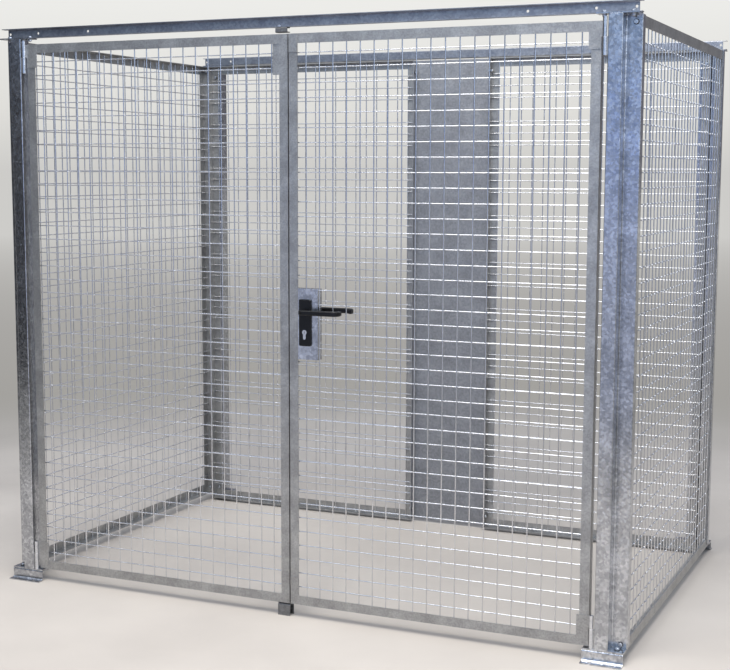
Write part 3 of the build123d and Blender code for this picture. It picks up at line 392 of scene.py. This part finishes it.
def weldedPanel(node, panel):
    # uprights in the outer layer, crosswise wires behind them, a weld nugget at each crossing
    low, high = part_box(node)
    size = high - low
    middle = (low + high) / 2
    across, deep = (0, 1) if size.x > size.y else (1, 0)
    pitch = meshLook["pitch"]
    radius = meshLook["diameter"] / 2
    behindBars = 2 * (panel["leg"] - meshLook["bar"])
    columns = wiresThatFit(size[across] - behindBars) + panel["extra"]
    rows = wiresThatFit(size.z - behindBars)
    outward = -1 if middle[deep] < 0 else 1
    uprightDepth = (high[deep] - radius) if outward > 0 else (low[deep] + radius)
    crossDepth = uprightDepth - outward * 2 * radius
    firstColumn = middle[across] - (columns - 1) / 2 * pitch
    firstRow = middle.z - (rows - 1) / 2 * pitch

    def spot(along, depth, up):
        return (along, depth, up) if across == 0 else (depth, along, up)

    upright = roundWire(size.z, "Z", spot(firstColumn, uprightDepth, middle.z))
    addArray(upright, columns, spot(pitch, 0, 0))
    cross = roundWire(size[across], "XY"[across], spot(middle[across], crossDepth, firstRow))
    addArray(cross, rows, (0, 0, pitch))
    selectNothing()
    weld = spot(firstColumn, (uprightDepth + crossDepth) / 2, firstRow)
    bpy.ops.mesh.primitive_ico_sphere_add(subdivisions=1, radius=1.0, location=weld)
    nugget = bpy.context.object
    nugget.scale = spot(*[meshLook["nugget"][side] for side in ("wide", "thick", "tall")])
    selectOnly(nugget)
    bpy.ops.object.transform_apply(location=True, rotation=True, scale=True)
    addArray(nugget, columns, spot(pitch, 0, 0))
    addArray(nugget, rows, (0, 0, pitch))
    bpy.ops.object.shade_smooth()
    if "cutFor" in panel:
        inner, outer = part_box(panel["cutFor"])
        room = Vector((meshLook["cutRoom"],) * 3)
        for wires in (upright, cross):
            cutBox(wires, inner - room, outer + room)
        deleteInside(nugget, inner - room, outer + room)
    finishPiece(joinPieces([upright, cross, nugget], node + "_wires"), node)
    print("mesh:", node, columns, "columns", rows, "rows")


for node, panel in panels.items():
    weldedPanel(node, panel)

# rolled bars, folded sheet and moulded handles have no sharp edge: its radius by the last word of the name
edgeRadius = {
    "post": 0.5 * mm, "foot": 0.6 * mm, "rail": 0.5 * mm, "sheet": 0.5 * mm, "keeper": 0.6 * mm,
    "tabs": 0.6 * mm, "box": 0.5 * mm, "guide": 0.5 * mm, "lever": 0.8 * mm,
}
for node in sorted(frame["nodes"]):
    radius = edgeRadius.get(node.split("_")[-1])
    if radius:
        piece = copyOf(node, node + "_rounded")
        roundEdges(piece, radius)
        finishPiece(piece, node)
print("edges rounded")

# lift-off hinges
hingeLook = {"edge": 0.4 * mm, "barrel": 7.6 * mm}   # how far from the axis the plated barrel reaches
hinges = {
    "right_leaf_swing": ("right_hinge_pins", "right_hinge_sleeves"),
    "left_leaf_swing": ("left_hinge_pins", "left_hinge_sleeves"),
}


def paintBarrels(piece, axis):
    # bright plated barrels on straps that were dipped with the leaf
    piece.data.materials.append(materials["hinge"])
    for face in piece.data.polygons:
        if math.dist(face.center[:2], axis[:2]) < hingeLook["barrel"]:
            face.material_index = 1


for joint in frame["joints"]:
    for node in hinges.get(joint["name"], ()):
        piece = copyOf(node, node + "_rounded")
        roundEdges(piece, hingeLook["edge"])
        finishPiece(piece, node)
        paintBarrels(piece, joint["pos_m"])
print("hinges ready")

# bolts
boltLook = {
    "edge": 0.7 * mm,
    "shank": 5.5 * mm,   # what reaches further from a bolt's axis is its head or its nut
    "washer": {"radius": 9.0 * mm, "height": 1.6 * mm, "edge": 0.5 * mm, "sides": 20},
}
hasWashers = {"wall_bolts": True, "foot_bolts": True, "filler_bolts": True, "rail_bolts": False}


def plainWasher(finish):
    size = boltLook["washer"]
    selectNothing()
    bpy.ops.mesh.primitive_cylinder_add(vertices=size["sides"], radius=size["radius"],
                                        depth=size["height"], location=(0, 0, size["height"] / 2))
    washer = bpy.context.object
    selectOnly(washer)
    bpy.ops.object.transform_apply(location=True)
    roundEdges(washer, size["edge"])
    washer.data.materials.append(finish)   # the bolts' own finish comes first, as it does on them
    # painted shade: the whole washer takes the dark finish that stands for the shadow round the bolt
    washer.data.materials.append(materials["washer"])
    for face in washer.data.polygons:
        face.material_index = 1
    return washer


def washersOn(bolt, pattern):
    # one round the head's foot and one round the nut's, found by the points that stand out from the shank
    points = [vertex.co for vertex in bolt.data.vertices]
    low = Vector([min(point[i] for point in points) for i in range(3)])
    high = Vector([max(point[i] for point in points) for i in range(3)])
    centre = (low + high) / 2
    along = max(range(3), key=lambda i: high[i] - low[i])
    sides = [i for i in range(3) if i != along]
    ends = [point[along] for point in points
            if math.dist([point[i] for i in sides], [centre[i] for i in sides]) > boltLook["shank"]]
    middle = (min(ends) + max(ends)) / 2
    seats = {-1: max(end for end in ends if end < middle), 1: min(end for end in ends if end > middle)}
    washers = []
    for way, seat in seats.items():
        washer = pattern.copy()
        washer.data = pattern.data.copy()
        bpy.context.scene.collection.objects.link(washer)
        facing = Vector([way if i == along else 0 for i in range(3)])
        washer.rotation_euler = facing.to_track_quat("Z", "Y").to_euler()
        washer.location = [seat if i == along else centre[i] for i in range(3)]
        washers.append(washer)
    return washers


def boltSet(node, withWashers):
    # hexagons with their corners broken
    bolts = copyOf(node, node + "_set")
    selectOnly(bolts)
    bpy.ops.mesh.separate(type="LOOSE")
    singles = list(bpy.context.selected_objects)
    washers = []
    if withWashers:
        pattern = plainWasher(finishOf(node))
        for single in singles:
            washers += washersOn(single, pattern)
        bpy.data.objects.remove(pattern)
    for single in singles:
        roundEdges(single, boltLook["edge"])
    finishPiece(joinPieces(singles + washers, node + "_set"), node)
    print("bolts:", node, len(singles), "with", len(washers), "washers")


for node, withWashers in hasWashers.items():
    boltSet(node, withWashers)

# floor
floorLook = {
    "size": 140.0,
    "rough": 0.8, "specular": 0.25, "patches": 1.2,               # to a metre
    "tones": ((0.3, "B0A9A1"), (0.7, "BFB8AF")),
    "fade": (2.2, 5.0),                                           # metres out, where the lit pool ends and the painted light takes over
    "paintedFarLight": ((0.0, "A09E9A"), (0.25, "A9A7A4"), (1.0, "CDCCC9")),   # painted light: the tones the floor glows with from there out to the backdrop, darkest just past the lit pool
    "farEdge": 30.0,
}


def layFloor():
    selectNothing()
    bpy.ops.mesh.primitive_plane_add(size=floorLook["size"], location=(0, 0, 0))
    floor = bpy.context.object
    floor.name = "studioFloor"
    # power-floated concrete: pale and matt, a little patchy
    material, tree, shader = newMaterial("paleConcrete", {
        "Roughness": floorLook["rough"], "Specular IOR Level": floorLook["specular"]})
    place = addNode(tree, "ShaderNodeTexCoord").outputs["Object"]
    patches = addNode(tree, "ShaderNodeTexNoise", {"Scale": floorLook["patches"], "Detail": 6.0},
                      {"Vector": place})
    pale = addNode(tree, "ShaderNodeValToRGB", {"tones": floorLook["tones"]},
                   {"Fac": patches.outputs["Fac"]})
    tree.links.new(pale.outputs["Color"], shader.inputs["Base Color"])
    far = addNode(tree, "ShaderNodeVectorMath", {"operation": "LENGTH"}, {0: place})
    near, edge = floorLook["fade"]
    fade = addNode(tree, "ShaderNodeMapRange",
                   {"interpolation_type": "SMOOTHSTEP", "From Min": near, "From Max": edge},
                   {"Value": far.outputs["Value"]})
    # painted light: past the lit pool the floor glows instead of taking the lamps' light, a painted falloff that
    # is darkest just outside the pool and pales out to the backdrop
    out = addNode(tree, "ShaderNodeMapRange", {"From Min": near, "From Max": floorLook["farEdge"]},
                  {"Value": far.outputs["Value"]})
    paintedFalloffTone = addNode(tree, "ShaderNodeValToRGB", {"tones": floorLook["paintedFarLight"]},
                  {"Fac": out.outputs["Result"]})
    paintedFloorGlow = addNode(tree, "ShaderNodeEmission", None, {"Color": paintedFalloffTone.outputs["Color"]})
    mixed = addNode(tree, "ShaderNodeMixShader", None,
                    {0: fade.outputs["Result"], 1: shader.outputs["BSDF"], 2: paintedFloorGlow.outputs["Emission"]})
    tree.links.new(mixed.outputs["Shader"], tree.nodes["Material Output"].inputs["Surface"])
    floor.data.materials.append(material)


# the hall: what a ray meets by its direction, which has an axis and a range for where each thing takes over
hall = {
    "backdrop": ((0.0, "CDCCC9"), (0.30, "DFDEDA"), (1.0, "F1F1EE")),
    # from the left to the right of someone with their back to the door
    "front": ((0.0, "1E1F23"), (0.20, "34363C"), (0.30, "7C90C8"), (0.55, "9DB8F4"), (0.8, "8090B8"),
              (1.0, "4F545E")),
    "windows": "C4E4FF", "backWall": "77767E", "overhead": "DCE4F4",
    "ranges": {
        "backdrop": ("Z", 0.0, 0.14), "front": ("X", -1.0, 1.0),
        "sill": ("Z", 0.02, 0.22), "firstWindow": ("X", -0.62, -0.38),
        "backWall": ("Y", 0.10, 0.60), "overhead": ("Z", 0.30, 0.60),
    },
}


def lightWorld():
    # a plain pale backdrop for the camera, and for the light and the mirrored rays the hall round it
    world = bpy.data.worlds.new("studioLight")
    bpy.context.scene.world = world
    world.use_nodes = True
    tree = world.node_tree
    ray = addNode(tree, "ShaderNodeTexCoord").outputs["Generated"]
    part = addNode(tree, "ShaderNodeSeparateXYZ", None, {"Vector": ray})
    share = {}
    for thing, (axis, low, high) in hall["ranges"].items():
        ramp = addNode(tree, "ShaderNodeMapRange", {"From Min": low, "From Max": high},
                       {"Value": part.outputs[axis]})
        share[thing] = ramp.outputs["Result"]
    glazing = addNode(tree, "ShaderNodeMath", {"operation": "MULTIPLY"},
                      {0: share["sill"], 1: share["firstWindow"]})
    share["windows"] = glazing.outputs["Value"]
    front = addNode(tree, "ShaderNodeValToRGB", {"tones": hall["front"]}, {"Fac": share["front"]})
    mirrored = front.outputs["Color"]
    for thing in ("windows", "backWall", "overhead"):
        covered = addNode(tree, "ShaderNodeMix", {"data_type": "RGBA", 7: colour(hall[thing])},
                          {0: share[thing], 6: mirrored})
        mirrored = covered.outputs[2]
    backdrop = addNode(tree, "ShaderNodeValToRGB", {"tones": hall["backdrop"]}, {"Fac": share["backdrop"]})
    cameraRay = addNode(tree, "ShaderNodeLightPath").outputs["Is Camera Ray"]
    seen = addNode(tree, "ShaderNodeMix", {"data_type": "RGBA"},
                   {0: cameraRay, 6: mirrored, 7: backdrop.outputs["Color"]})
    tree.links.new(seen.outputs[2], tree.nodes["Background"].inputs["Color"])


# places, aims and sizes in metres, power in watts
softboxes = {
    # the soft ceiling light, and a high one towards the door
    "ceilingSoftbox": {"place": (0.8, -3.0, 6.0), "aim": (0.4, -1.0, 0), "size": (5.0, 3.0), "power": 430.0,
                       "tint": "FFFBF4"},
    "doorSoftbox": {"place": (1.8, -6.0, 5.2), "aim": (0.4, 0, 1.0), "size": (3.2, 2.4), "power": 150.0,
                    "tint": "F2F4FF"},
    # the right wall's light
    "sideSoftbox": {"place": (7.5, -2.0, 3.4), "aim": (0.6, 0, 1.1), "size": (3.0, 3.0), "power": 70.0,
                    "tint": "E6EDFF"},
    # the windows that the posts beside the door mirror
    "windowCard": {"place": (0.9, -4.2, 1.05), "aim": (0.9, 0.0, 1.05), "size": (7.0, 2.0), "power": 14.0,
                   "tint": "86A8F0"},
}
# a dark cloth on a stand, which the left post mirrors
flagLook = {"place": (-4.4, -4.2, 1.0), "size": (3.4, 2.4), "colour": "2C2C30"}


def addSoftbox(name, place, aim, size, power, tint):
    light = bpy.data.lights.new(name, "AREA")
    light.shape = "RECTANGLE"
    light.size, light.size_y = size
    light.energy = power
    light.color = colour(tint)[:3]
    softbox = bpy.data.objects.new(name, light)
    softbox.location = place
    softbox.rotation_euler = (Vector(aim) - Vector(place)).to_track_quat("-Z", "Y").to_euler()
    softbox.visible_camera = False
    bpy.context.scene.collection.objects.link(softbox)


def hangFlag():
    selectNothing()
    bpy.ops.mesh.primitive_plane_add(size=1.0, location=flagLook["place"], rotation=(math.pi / 2, 0, 0))
    flag = bpy.context.object
    flag.name = "leftFlag"
    flag.scale = (*flagLook["size"], 1.0)
    selectOnly(flag)
    bpy.ops.object.transform_apply(location=True, rotation=True, scale=True)
    # dull woven cloth: it gives the eye nothing but its dark
    material, tree, shader = newMaterial("blackCloth", {
        "Base Color": colour(flagLook["colour"]), "Roughness": 1.0, "Specular IOR Level": 0.0})
    flag.data.materials.append(material)
    flag.visible_camera = False
    flag.visible_diffuse = False
    flag.visible_shadow = False


camera = {
    "place": (2.1956, -5.0020, 1.5647),
    "turn": 24.054,            # degrees towards -X
    "tilt": 6.915,             # degrees down
    "roll": 0.172,
    "lens": 68.86, "film": 36.0,   # mm
    "shift": (-0.0021, 0.0079),
    "clipEnd": 200.0,          # metres
}


def placeCamera():
    view = bpy.data.objects.new("camera", bpy.data.cameras.new("camera"))
    view.data.sensor_width = camera["film"]
    view.data.lens = camera["lens"]
    view.data.shift_x, view.data.shift_y = camera["shift"]
    view.data.clip_end = camera["clipEnd"]
    turned = Matrix.Rotation(math.radians(camera["turn"]), 3, "Z")
    tilted = Matrix.Rotation(math.radians(90 - camera["tilt"]), 3, "X")
    rolled = Matrix.Rotation(math.radians(camera["roll"]), 3, "Z")
    view.rotation_euler = (turned @ tilted @ rolled).to_euler()
    view.location = camera["place"]
    bpy.context.scene.collection.objects.link(view)
    bpy.context.scene.camera = view


layFloor()
lightWorld()
for name, softbox in softboxes.items():
    addSoftbox(name, **softbox)
hangFlag()
placeCamera()
bpy.context.scene.view_settings.view_transform = "Standard"
print("studio ready")
